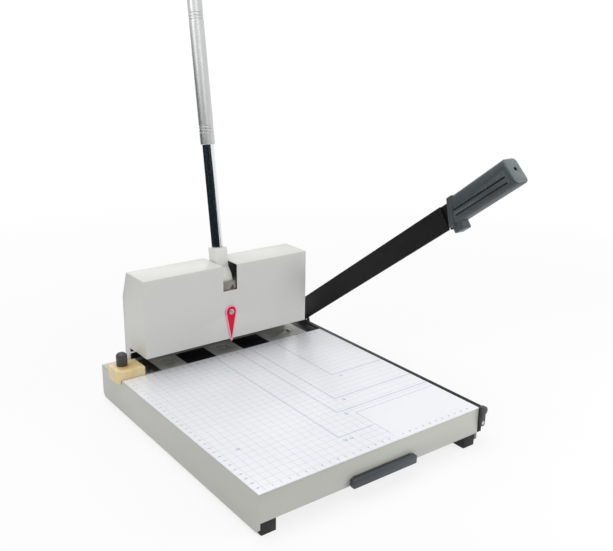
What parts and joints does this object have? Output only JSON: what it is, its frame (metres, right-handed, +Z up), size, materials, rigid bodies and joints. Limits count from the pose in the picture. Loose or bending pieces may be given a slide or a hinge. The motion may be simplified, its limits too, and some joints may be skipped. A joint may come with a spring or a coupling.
{
  "type": "paper cutter with punch",
  "caption": "Guillotine paper cutter on a ruled tray with a raised hinged knife, and a lever-driven hole punch across its rear edge.",
  "frame": {"origin": "middle of the whole cutter's footprint, on the table", "axes": "+Z up, +Y from the tray's front edge towards the punch, +X towards the knife"},
  "size_m": [0.3328, 0.4037, 0.4958],
  "materials": {
    "bare_steel": "bare, satin",
    "bearing_bronze": "machined",
    "black_rubber": "matte",
    "black_steel": "black, satin",
    "bright_steel": "bright",
    "charcoal_plastic": "matte",
    "chrome": "polished",
    "cream_nylon": "satin",
    "light_grey_paint": "semi-gloss",
    "printed_white": "printed, semi-gloss",
    "red_plastic": "gloss",
    "satin_aluminium": "satin",
    "slate_plastic": "satin",
    "warm_white_paint": "semi-gloss",
    "white_nylon": "satin"
  },
  "bodies": {
    "base": {"back_plate": "bare_steel", "catch_screw": "bright_steel", "deck_screw": "bright_steel", "die_bar": "bare_steel", "drawer_rails": "light_grey_paint", "end_plate_left": "bare_steel", "end_plate_right": "bare_steel", "fixed_blade": "black_steel", "foot_front_left": "black_rubber", "foot_front_right": "black_rubber", "foot_rear_left": "black_rubber", "foot_rear_right": "black_rubber", "guide_plate": "bare_steel", "guide_rod_left": "bright_steel", "guide_rod_right": "bright_steel", "pivot_block": "black_steel", "pivot_bolt": "bright_steel", "pivot_washer": "bright_steel", "pointer": "red_plastic", "pointer_screw": "bright_steel", "printed_plate": "printed_white", "punch_cover": "warm_white_paint", "punch_pad_center": "cream_nylon", "punch_pad_left": "cream_nylon", "punch_pad_right": "cream_nylon", "rest_plate": "bare_steel", "return_spring_left": "bright_steel", "return_spring_right": "bright_steel", "shaft_bush_left": "bearing_bronze", "shaft_bush_right": "bearing_bronze", "tray": "light_grey_paint"},
    "knife_arm": {"knife": "black_steel", "arm_bar": "black_steel", "knife_screw_front": "bright_steel", "knife_screw_rear": "bright_steel", "arm_handle": "slate_plastic", "handle_screw": "bright_steel"},
    "punch_lever": {"lever_seat": "white_nylon", "lever_shaft": "bright_steel", "pinion_left": "bright_steel", "pinion_right": "bright_steel", "lever_tube": "chrome", "lever_grip": "satin_aluminium", "grip_cap": "charcoal_plastic"},
    "carriage": {"press_bar": "bare_steel", "rack_left": "bare_steel", "rack_right": "bare_steel", "window_plate": "bare_steel", "punch_left": "bright_steel", "punch_center": "bright_steel", "punch_right": "bright_steel", "punch_nut_left": "bright_steel", "punch_nut_center": "bright_steel", "punch_nut_right": "bright_steel"},
    "margin_slide": {"margin_stop": "cream_nylon", "stop_nut_plate": "bright_steel"},
    "stop_knob": {"clamp_knob": "charcoal_plastic"},
    "blade_catch": {"safety_catch": "charcoal_plastic"},
    "drawer": {"pad_drawer": "bare_steel", "drawer_pull": "slate_plastic"}
  },
  "joints": [
    {"name": "arm_hinge", "type": "hinge", "parent": "base", "child": "knife_arm", "pos_m": [0.15448, 0.17251, 0.027], "axis": [1, 0, 0], "range_deg": [-39.4, 35.6]},
    {"name": "lever_hinge", "type": "hinge", "parent": "base", "child": "punch_lever", "pos_m": [-0.00698, 0.14221, 0.137], "axis": [1, 0, 0], "range_deg": [0, 82]},
    {"name": "carriage_slide", "type": "slide", "parent": "base", "child": "carriage", "axis": [0, 0, -1], "range_m": [0, 0.0229], "stiffness_N_per_m": 1200, "springref_m": -0.02, "deforming": ["return_spring_left", "return_spring_right"]},
    {"name": "stop_slide", "type": "slide", "parent": "base", "child": "margin_slide", "axis": [0, 1, 0], "range_m": [0, 0.028]},
    {"name": "knob_turn", "type": "hinge", "parent": "margin_slide", "child": "stop_knob", "pos_m": [-0.15243, 0.13931, 0.058], "axis": [0, 0, 1], "range_deg": [0, 180]},
    {"name": "catch_hinge", "type": "hinge", "parent": "base", "child": "blade_catch", "pos_m": [0.14517, -0.18179, 0.0282], "axis": [0, -1, 0], "range_deg": [-80, 0]},
    {"name": "drawer_slide", "type": "slide", "parent": "base", "child": "drawer", "axis": [0, -1, 0], "range_m": [0, 0.11]}
  ],
  "couplings": [
    {"joint": "carriage_slide", "follows": "lever_hinge", "m_per_rad": 0.016}
  ]
}
